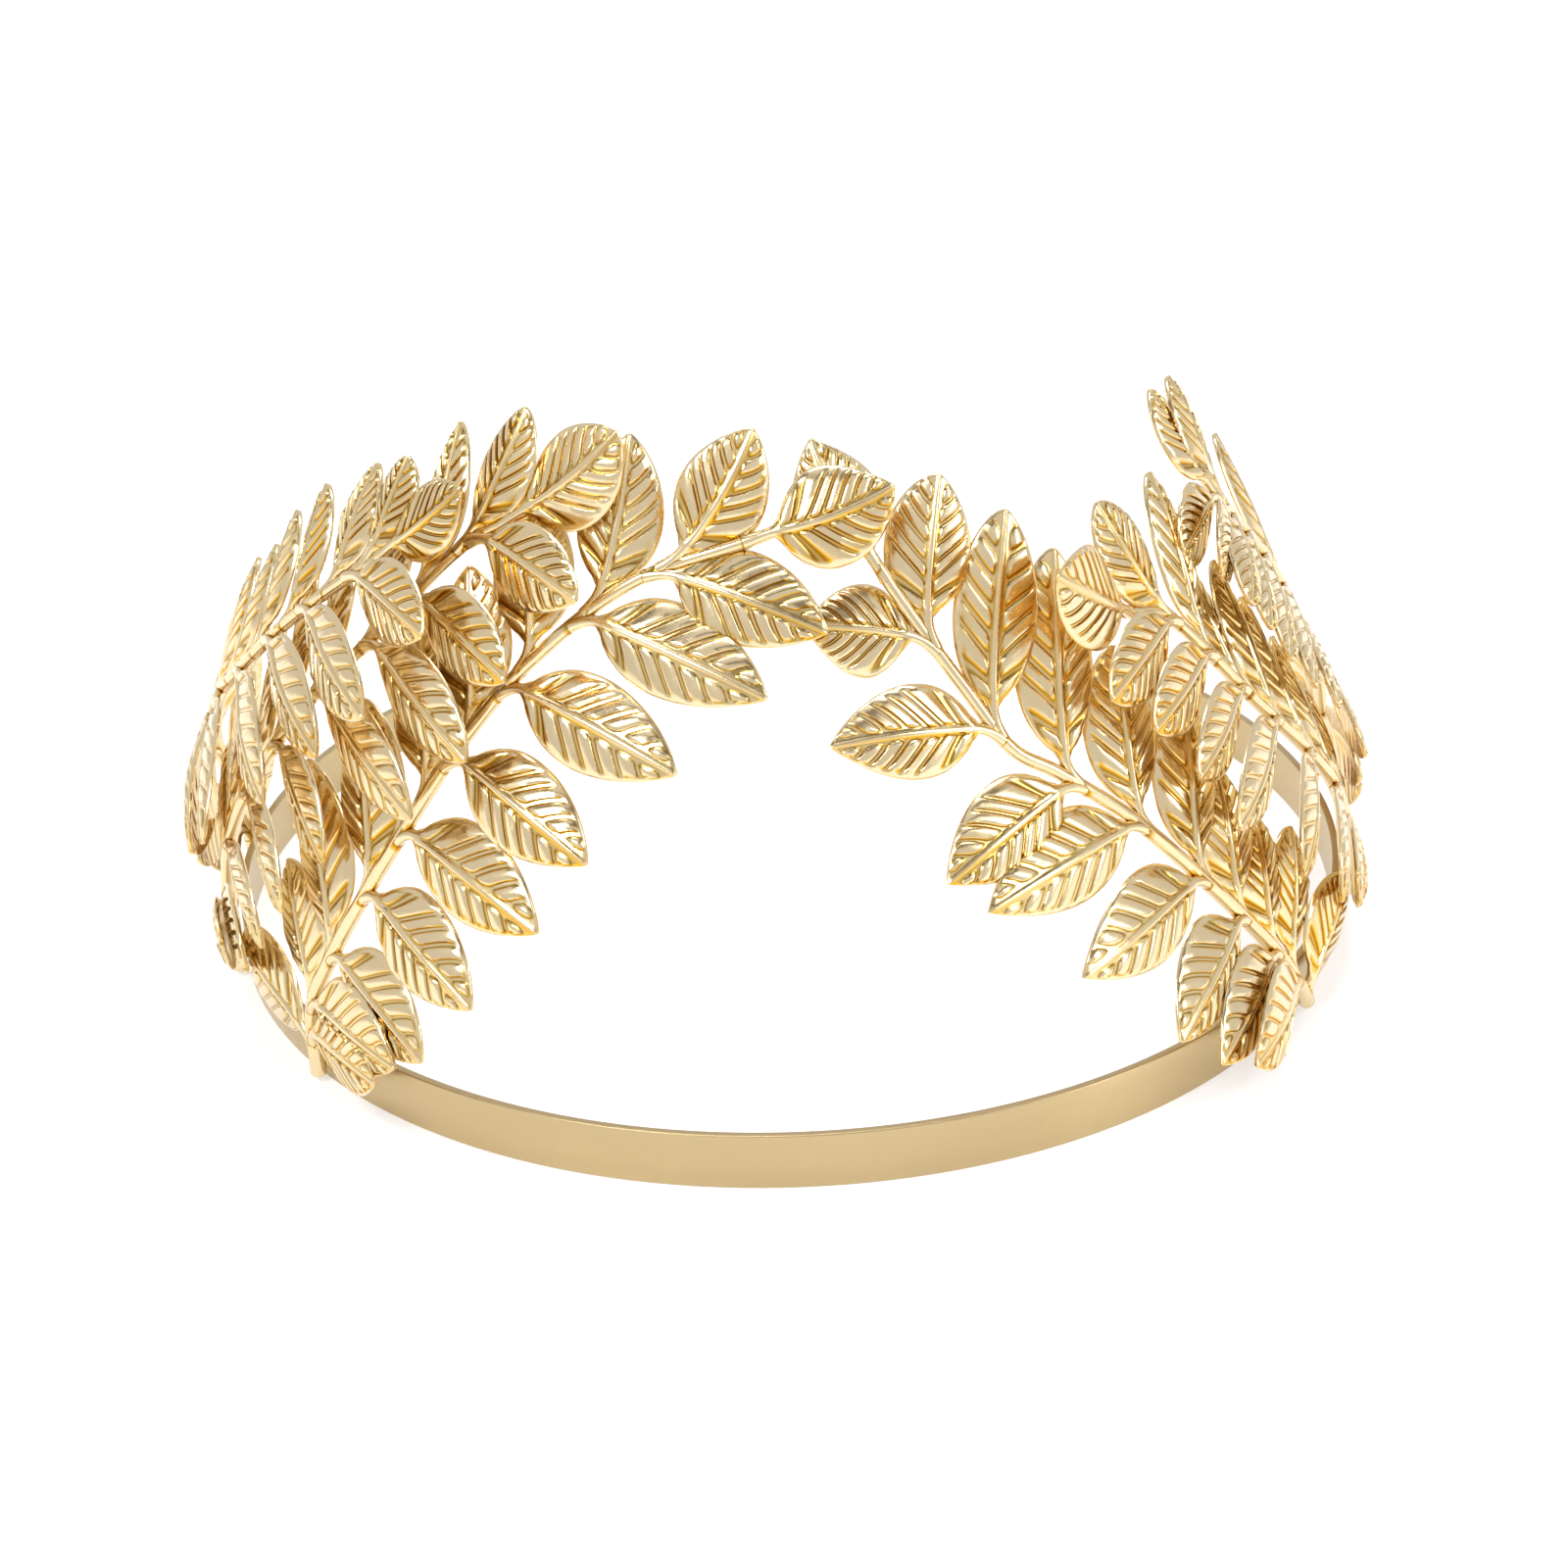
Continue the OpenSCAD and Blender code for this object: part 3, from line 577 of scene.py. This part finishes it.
def stem_mesh(dome, rows):
    """The stem: a round rod that tapers from its foot to the end leaf, with rounded ends."""
    ends = np.array(CAP_PLACES)
    u = np.concatenate([np.zeros(len(ends)), np.linspace(0, 1, STEM_ROWS), np.ones(len(ends) - 1)])
    # how far past the end of the stem's line a ring lies
    cap = np.concatenate([ends - CAP_L, np.zeros(STEM_ROWS), CAP_L - ends[-2::-1]])
    full = np.sqrt(1 - (cap / CAP_R) ** 2)
    p, way = along(rows, u), heading(dome, rows, u)
    r = (FOOT_D + (NECK_D - FOOT_D) * u) / 2 * full
    az, z = dome.step(p[:, 0], p[:, 1], cap * np.cos(way), cap * np.sin(way))
    mid = dome.point(az, z, 0)
    across = dome.point(*dome.step(az, z, -np.sin(way), np.cos(way)), 0) - mid
    across /= np.linalg.norm(across, axis=1)[:, None]
    out = dome.point(az, z, 1) - mid
    out /= np.linalg.norm(out, axis=1)[:, None]
    a = 2 * math.pi * np.arange(STEM_SIDES) / STEM_SIDES
    rings = (mid[:, None] + r[:, None, None] * (np.cos(a)[None, :, None] * across[:, None]
                                                + np.sin(a)[None, :, None] * out[:, None]))
    return close_rings(rings, np.full(rings.shape[:2], STEM_TONE_LEVEL))


def add_object(name, verts, faces, worn=None, mirrored=False):
    """A mesh object from points in millimetres, and each point's tone level with its painted shade.
    """
    verts = np.array(verts, float)
    if mirrored:
        verts[:, 0] *= -1
    mesh = bpy.data.meshes.new(name)
    mesh.from_pydata((verts * MM).tolist(), [], faces)
    bm = bmesh.new()
    bm.from_mesh(mesh)
    bmesh.ops.recalc_face_normals(bm, faces=bm.faces)
    bm.to_mesh(mesh)
    bm.free()
    if worn is not None:
        attribute = mesh.attributes.new("worn", "FLOAT", "POINT")
        attribute.data.foreach_set("value", np.asarray(worn, np.float32))
    obj = bpy.data.objects.new(name, mesh)
    bpy.context.scene.collection.objects.link(obj)
    return obj


def shade(piece, angle):
    """Smooth shading, but for edges sharper than an angle."""
    piece.data.shade_smooth()
    piece.data.set_sharp_from_angle(angle=math.radians(angle))


def apply_modifiers(obj):
    """Gives an object the mesh that its modifiers make of it."""
    dg = bpy.context.evaluated_depsgraph_get()
    mesh = bpy.data.meshes.new_from_object(obj.evaluated_get(dg), preserve_all_data_layers=True,
                                           depsgraph=dg)
    obj.modifiers.clear()
    old, obj.data = obj.data, mesh
    bpy.data.meshes.remove(old)


def keep_largest(mesh):
    """Removes the tiny closed bubbles that a union can leave inside a solid."""
    bm = bmesh.new()
    bm.from_mesh(mesh)
    island = {}
    sizes = []
    for start in bm.verts:
        if start in island:
            continue
        stack, island[start] = [start], len(sizes)
        sizes.append(0)
        while stack:
            vert = stack.pop()
            sizes[-1] += 1
            for edge in vert.link_edges:
                other = edge.other_vert(vert)
                if other not in island:
                    island[other] = island[start]
                    stack.append(other)
    largest = sizes.index(max(sizes))
    bmesh.ops.delete(bm, geom=[v for v in bm.verts if island[v] != largest], context="VERTS")
    bm.to_mesh(mesh)
    bm.free()


def fuse(name, parts):
    """One solid from a stem and its leaves, which run into each other."""
    others = bpy.data.collections.new("parts_of_" + name)
    for obj in parts[1:]:
        bpy.context.scene.collection.objects.unlink(obj)
        others.objects.link(obj)
    whole = parts[0]
    union = whole.modifiers.new("union", "BOOLEAN")
    union.operation, union.solver = "UNION", "MANIFOLD"
    union.operand_type, union.collection = "COLLECTION", others
    apply_modifiers(whole)
    keep_largest(whole.data)
    whole.data.materials.clear()    # the union leaves an empty slot
    for obj in parts[1:]:
        bpy.data.objects.remove(obj)
    bpy.data.collections.remove(others)
    whole.name = whole.data.name = name
    return whole


def sprig(node):
    """A sprig's stem and leaves, fused into one piece that stands for its node."""
    dome, rows = Dome(*DOMES[node]), STEMS[node]
    mirrored = node.startswith("right")
    parts = [add_object("stem", *stem_mesh(dome, rows), mirrored)]
    first = SEEDS_PER_SPRIG * list(DOMES).index(node)
    for i, row in enumerate(LEAVES[node]):
        leaf = Leaf(dome, SETS[node], rows, row, first + i)
        parts.append(add_object("leaf", *leaf_mesh(leaf), mirrored))
    piece = fuse(node + "_detail", parts)
    shade(piece, LEAF_SHARP)
    return piece


def band_section(half_height):
    """Once round the strip, from the foot of its outer face: radius, and height over its middle."""
    e = min(BAND_EDGE, half_height)
    edge = [(-BAND_EDGE * x, y * e) for x, y in EDGE_ROWS]
    outer = ([(x, y - half_height) for x, y in edge]
             + [(BAND_CROWN, (2 * k - 1) * (half_height - e)) for k in CROWN_ROWS]
             + [(x, half_height - y) for x, y in edge[::-1]])
    inner = ([(-BAND_T - x, half_height - y) for x, y in edge]
             + [(-BAND_T - x, y - half_height) for x, y in edge[::-1]])
    return [(HOOP_R + x, y) for x, y in outer + inner]


def band():
    """The springy hoop: a flat strip with eased edges and rounded ends."""
    end_at = math.radians(180 - BACK_GAP / 2)
    round_arc = BAND_H / 2 / HOOP_R
    straight_to = end_at - round_arc
    tail = end_at - round_arc * (1 - np.cos(np.linspace(TAIL_FROM, math.pi / 2, TAIL_ROWS)))
    middle = np.linspace(-straight_to, straight_to, ARC_ROWS)[1:-1]
    az = np.concatenate([-tail, middle, tail[::-1]])
    past = np.maximum(np.abs(az) - straight_to, 0) / round_arc
    half = BAND_H / 2 * np.sqrt(np.maximum(1 - past ** 2, 0.0))
    rings = np.array([[(r * math.sin(a), -r * math.cos(a), BAND_H / 2 + y)
                       for r, y in band_section(h)] for a, h in zip(az, half)])
    piece = add_object("band_detail", *close_rings(rings, np.full(rings.shape[:2], BAND_TONE_LEVEL)))
    shade(piece, BAND_SHARP)
    return piece


# Materials

# Settings of the noises: Scale is about how many features there are in a metre
CLOUD = {"Scale": 55.0, "Detail": 3.0, "Roughness": 0.55}
PATCHES = {"Scale": 42.0, "Detail": 1.0}
GRAIN = {"Scale": 900.0, "Detail": 4.0, "Roughness": 0.6}
UNEVEN = {"Scale": 260.0, "Detail": 2.0, "Roughness": 0.5}
FLOOR_CLOUD = {"Scale": 3.0, "Detail": 3.0}

# The gold's colour at each level: a share of the attribute of tone level and painted shade, and a
# share of noise, added up. The two darkest leaf stops are the painted shade of the grooves
TONE_AND_SHADE_SHARE, CLOUD_SHARE = 0.75, 0.3
LEAF_TONES = [(0.12, (0.28, 0.13, 0.008)), (0.4, (0.60, 0.41, 0.12)),
              (0.66, (0.818, 0.646, 0.357)), (0.95, (0.835, 0.68, 0.412))]
BAND_TONES = [(0.66, (0.515, 0.39, 0.203)), (0.95, (0.558, 0.425, 0.228))]
# Painted reflection of warm light thrown between the gold surfaces: what the colour is multiplied
# by where a leaf faces sideways or down and is sunk, in patches
LEAF_PAINTED_REFLECTION = (0.95, 0.69, 0.15)
FACING_AWAY = (0.54, 0.12)          # height of the normal where that begins and where it is full
SUNK = (0.90, 0.74)                 # the same for the attribute of tone level and painted shade
PATCH_EDGES = (0.40, 0.52)          # and for the noise
PATCH_LEAST = 0.25                  # how much of it there is between the patches
GRAIN_SPAN = (0.3, 0.7)             # the part of the grain's noise that the roughness follows
LEAF_ROUGH, BAND_ROUGH = (0.16, 0.28), (0.27, 0.36)
MARKS_STRENGTH, MARKS_DEPTH = 0.10, 0.0003      # polishing marks on the leaves, depth in metres
GRAIN_IN_MARKS = 0.12               # how much of the grain they take on top of the unevenness

FLOOR_TONES = [(0.3, (0.60, 0.60, 0.60)), (0.7, (0.62, 0.62, 0.62))]
FLOOR_ROUGH, FLOOR_SPECULAR, FLOOR_GLOW = 0.32, 0.35, 0.54

MIX_SHARE, MIX_A, MIX_B, MIX_RESULT = 0, 6, 7, 2    # the sockets of a Mix node set to colours


class Nodes:
    """A shorthand for building a material's node tree."""

    def __init__(self, name):
        self.material = bpy.data.materials.new(name)
        self.material.use_nodes = True
        self.tree = self.material.node_tree
        self.shader = self.tree.nodes["Principled BSDF"]

    def add(self, kind, inputs=None, **settings):
        node = self.tree.nodes.new(kind)
        for key, value in settings.items():
            setattr(node, key, value)
        for key, value in (inputs or {}).items():
            if isinstance(value, bpy.types.NodeSocket):
                self.tree.links.new(value, node.inputs[key])
            else:
                node.inputs[key].default_value = value
        return node

    def noise(self, at, settings):
        return self.add("ShaderNodeTexNoise", {"Vector": at, **settings}).outputs["Fac"]

    def calc(self, operation, *values):
        return self.add("ShaderNodeMath", dict(enumerate(values)), operation=operation).outputs[0]

    def span(self, source, ends, low=0.0, high=1.0):
        """Goes from low to high while the source goes from one of the ends to the other."""
        node = self.add("ShaderNodeMapRange", {"Value": source, "From Min": ends[0],
                                               "From Max": ends[1], "To Min": low, "To Max": high})
        return node.outputs["Result"]

    def ramp(self, source, stops):
        node = self.add("ShaderNodeValToRGB", {"Fac": source})
        set_stops(node.color_ramp.elements, stops)
        return node.outputs["Color"]

    def link(self, socket, name):
        self.tree.links.new(socket, self.shader.inputs[name])


def set_stops(elements, stops):
    """Fills a colour ramp, which comes with two stops of its own."""
    for i, (at, colour) in enumerate(stops):
        stop = elements[i] if i < 2 else elements.new(at)
        stop.position, stop.color = at, (*colour, 1)


def gold(name, tones, rough, painted_reflection=None, marks=0.0):
    """Gold plate: its tone follows the attribute of tone level and painted shade, and a slight
    unevenness.

    painted_reflection: the warm colour of a painted reflection, what that is multiplied by in
    hollows that face sideways or down.
    marks: how strong the polishing marks are.
    """
    nodes = Nodes(name)
    at = nodes.add("ShaderNodeTexCoord").outputs["Object"]
    # the attribute holds each part's tone level, with painted shade in the leaves' grooves
    worn = nodes.add("ShaderNodeAttribute", attribute_name="worn").outputs["Fac"]
    cloud = nodes.calc("MULTIPLY", nodes.noise(at, CLOUD), CLOUD_SHARE)
    colour = nodes.ramp(nodes.calc("MULTIPLY_ADD", worn, TONE_AND_SHADE_SHARE, cloud), tones)
    # painted reflection: a warm tint in sunk hollows that face sideways or down
    if painted_reflection:
        normal = nodes.add("ShaderNodeNewGeometry").outputs["Normal"]
        up = nodes.add("ShaderNodeSeparateXYZ", {0: normal}).outputs["Z"]
        both = nodes.calc("MULTIPLY", nodes.span(up, FACING_AWAY), nodes.span(worn, SUNK))
        patches = nodes.span(nodes.noise(at, PATCHES), PATCH_EDGES, low=PATCH_LEAST)
        share = nodes.calc("MULTIPLY", both, patches)
        mix = nodes.add("ShaderNodeMix",
                        {MIX_SHARE: share, MIX_A: colour, MIX_B: (*painted_reflection, 1)},
                        data_type="RGBA", blend_type="MULTIPLY")
        colour = mix.outputs[MIX_RESULT]
    nodes.link(colour, "Base Color")
    nodes.shader.inputs["Metallic"].default_value = 1.0
    grain = nodes.noise(at, GRAIN)
    nodes.link(nodes.span(grain, GRAIN_SPAN, *rough), "Roughness")
    if marks:
        height = nodes.calc("MULTIPLY_ADD", grain, GRAIN_IN_MARKS, nodes.noise(at, UNEVEN))
        bump = nodes.add("ShaderNodeBump", {"Height": height, "Strength": marks,
                                            "Distance": MARKS_DEPTH})
        nodes.link(bump.outputs["Normal"], "Normal")
    return nodes.material


def floor_material():
    nodes = Nodes("pale_floor")
    at = nodes.add("ShaderNodeTexCoord").outputs["Object"]
    nodes.link(nodes.ramp(nodes.noise(at, FLOOR_CLOUD), FLOOR_TONES), "Base Color")
    nodes.shader.inputs["Roughness"].default_value = FLOOR_ROUGH
    nodes.shader.inputs["Specular IOR Level"].default_value = FLOOR_SPECULAR
    nodes.shader.inputs["Emission Color"].default_value = (1, 1, 1, 1)
    nodes.shader.inputs["Emission Strength"].default_value = FLOOR_GLOW
    return nodes.material


# The scene

# A bright wall, a dark ring high on it and a bright ceiling. Columns: sine of the elevation, tone
SKY = [(0.0, 0.95), (0.80, 0.97), (0.86, 0.22), (0.93, 0.22), (0.97, 1.0)]
SKY_STRENGTH = 0.80
# Green and blue of a tone as shares of its red: at black, and how much more at white
SKY_GREEN, SKY_BLUE = (0.8, 0.2), (0.55, 0.5)
LIGHT_COLOUR = (0.97, 0.99, 1.03)
# Columns: name, place and size in metres, watts
LIGHTS = [
    ("key", (-0.55, -0.60, 1.0), (0.4, 0.4), 6.5),
    ("fill", (0.85, -0.45, 0.6), (0.25, 0.8), 3.5),
    ("top", (0.05, 0.35, 1.1), (0.8, 0.3), 6),
]
AIM = (0, 0, 0.04)                  # what the lights point at, in metres
FLOOR_HALF, FLOOR_Z = 3000.0, -0.02     # half the floor's side, and its height under the part
NEAR, FAR = 0.01, 20.0              # the camera's clipping, in metres


def add_camera():
    e, roll = math.radians(CAMERA_ELEVATION), math.radians(CAMERA_ROLL)
    ahead = Vector((0.0, math.cos(e), -math.sin(e)))
    right = Vector((1.0, 0.0, 0.0))
    up = right.cross(ahead)
    right, up = (math.cos(roll) * right + math.sin(roll) * up,
                 -math.sin(roll) * right + math.cos(roll) * up)
    data = bpy.data.cameras.new("camera")
    data.sensor_width = data.sensor_height = SENSOR
    data.lens = FOCAL_PIXELS / IMAGE_SIDE * SENSOR
    data.clip_start, data.clip_end = NEAR, FAR
    obj = bpy.data.objects.new("camera", data)
    turn = Matrix((right, up, -ahead)).transposed().to_4x4()
    obj.matrix_world = Matrix.Translation(Vector(CAMERA_AT) * MM) @ turn
    bpy.context.scene.collection.objects.link(obj)
    bpy.context.scene.camera = obj


def add_light(name, at, size, power):
    """An oblong area light, its place and size in metres."""
    data = bpy.data.lights.new(name, "AREA")
    data.shape, data.size, data.size_y = "RECTANGLE", size[0], size[1]
    data.energy, data.color = power, LIGHT_COLOUR
    obj = bpy.data.objects.new(name, data)
    obj.location = at
    obj.rotation_euler = (Vector(AIM) - Vector(at)).to_track_quat("-Z", "Y").to_euler()
    bpy.context.scene.collection.objects.link(obj)


def sky_colour(tone):
    """Red, green and blue of a tone: the darker it is, the warmer."""
    return (tone, *(tone * (least + more * tone) for least, more in (SKY_GREEN, SKY_BLUE)))


def add_world():
    world = bpy.data.worlds.new("studio")
    bpy.context.scene.world = world
    world.use_nodes = True
    tree = world.node_tree
    background = tree.nodes["Background"]
    way = tree.nodes.new("ShaderNodeTexCoord")
    height = tree.nodes.new("ShaderNodeSeparateXYZ")
    tree.links.new(way.outputs["Generated"], height.inputs[0])
    sky = tree.nodes.new("ShaderNodeValToRGB")
    tree.links.new(height.outputs["Z"], sky.inputs["Fac"])
    set_stops(sky.color_ramp.elements, [(at, sky_colour(tone)) for at, tone in SKY])
    tree.links.new(sky.outputs["Color"], background.inputs["Color"])
    background.inputs["Strength"].default_value = SKY_STRENGTH


def add_floor():
    corners = [(x * FLOOR_HALF, y * FLOOR_HALF, FLOOR_Z)
               for x, y in ((-1, -1), (1, -1), (1, 1), (-1, 1))]
    floor = add_object("floor", corners, [(0, 1, 2, 3)])
    floor.data.materials.append(floor_material())


add_camera()
leaf_gold = gold("leaf_gold", LEAF_TONES, LEAF_ROUGH, LEAF_PAINTED_REFLECTION, MARKS_STRENGTH)
band_gold = gold("band_gold", BAND_TONES, BAND_ROUGH)
for node in DOMES:
    piece = sprig(node)
    piece.data.materials.append(leaf_gold)
    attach(piece, "root")
    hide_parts(node)
hoop = band()
hoop.data.materials.append(band_gold)
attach(hoop, "root")
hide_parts("band")

add_world()
add_floor()
for light in LIGHTS:
    add_light(*light)
bpy.context.scene.view_settings.view_transform = "Standard"
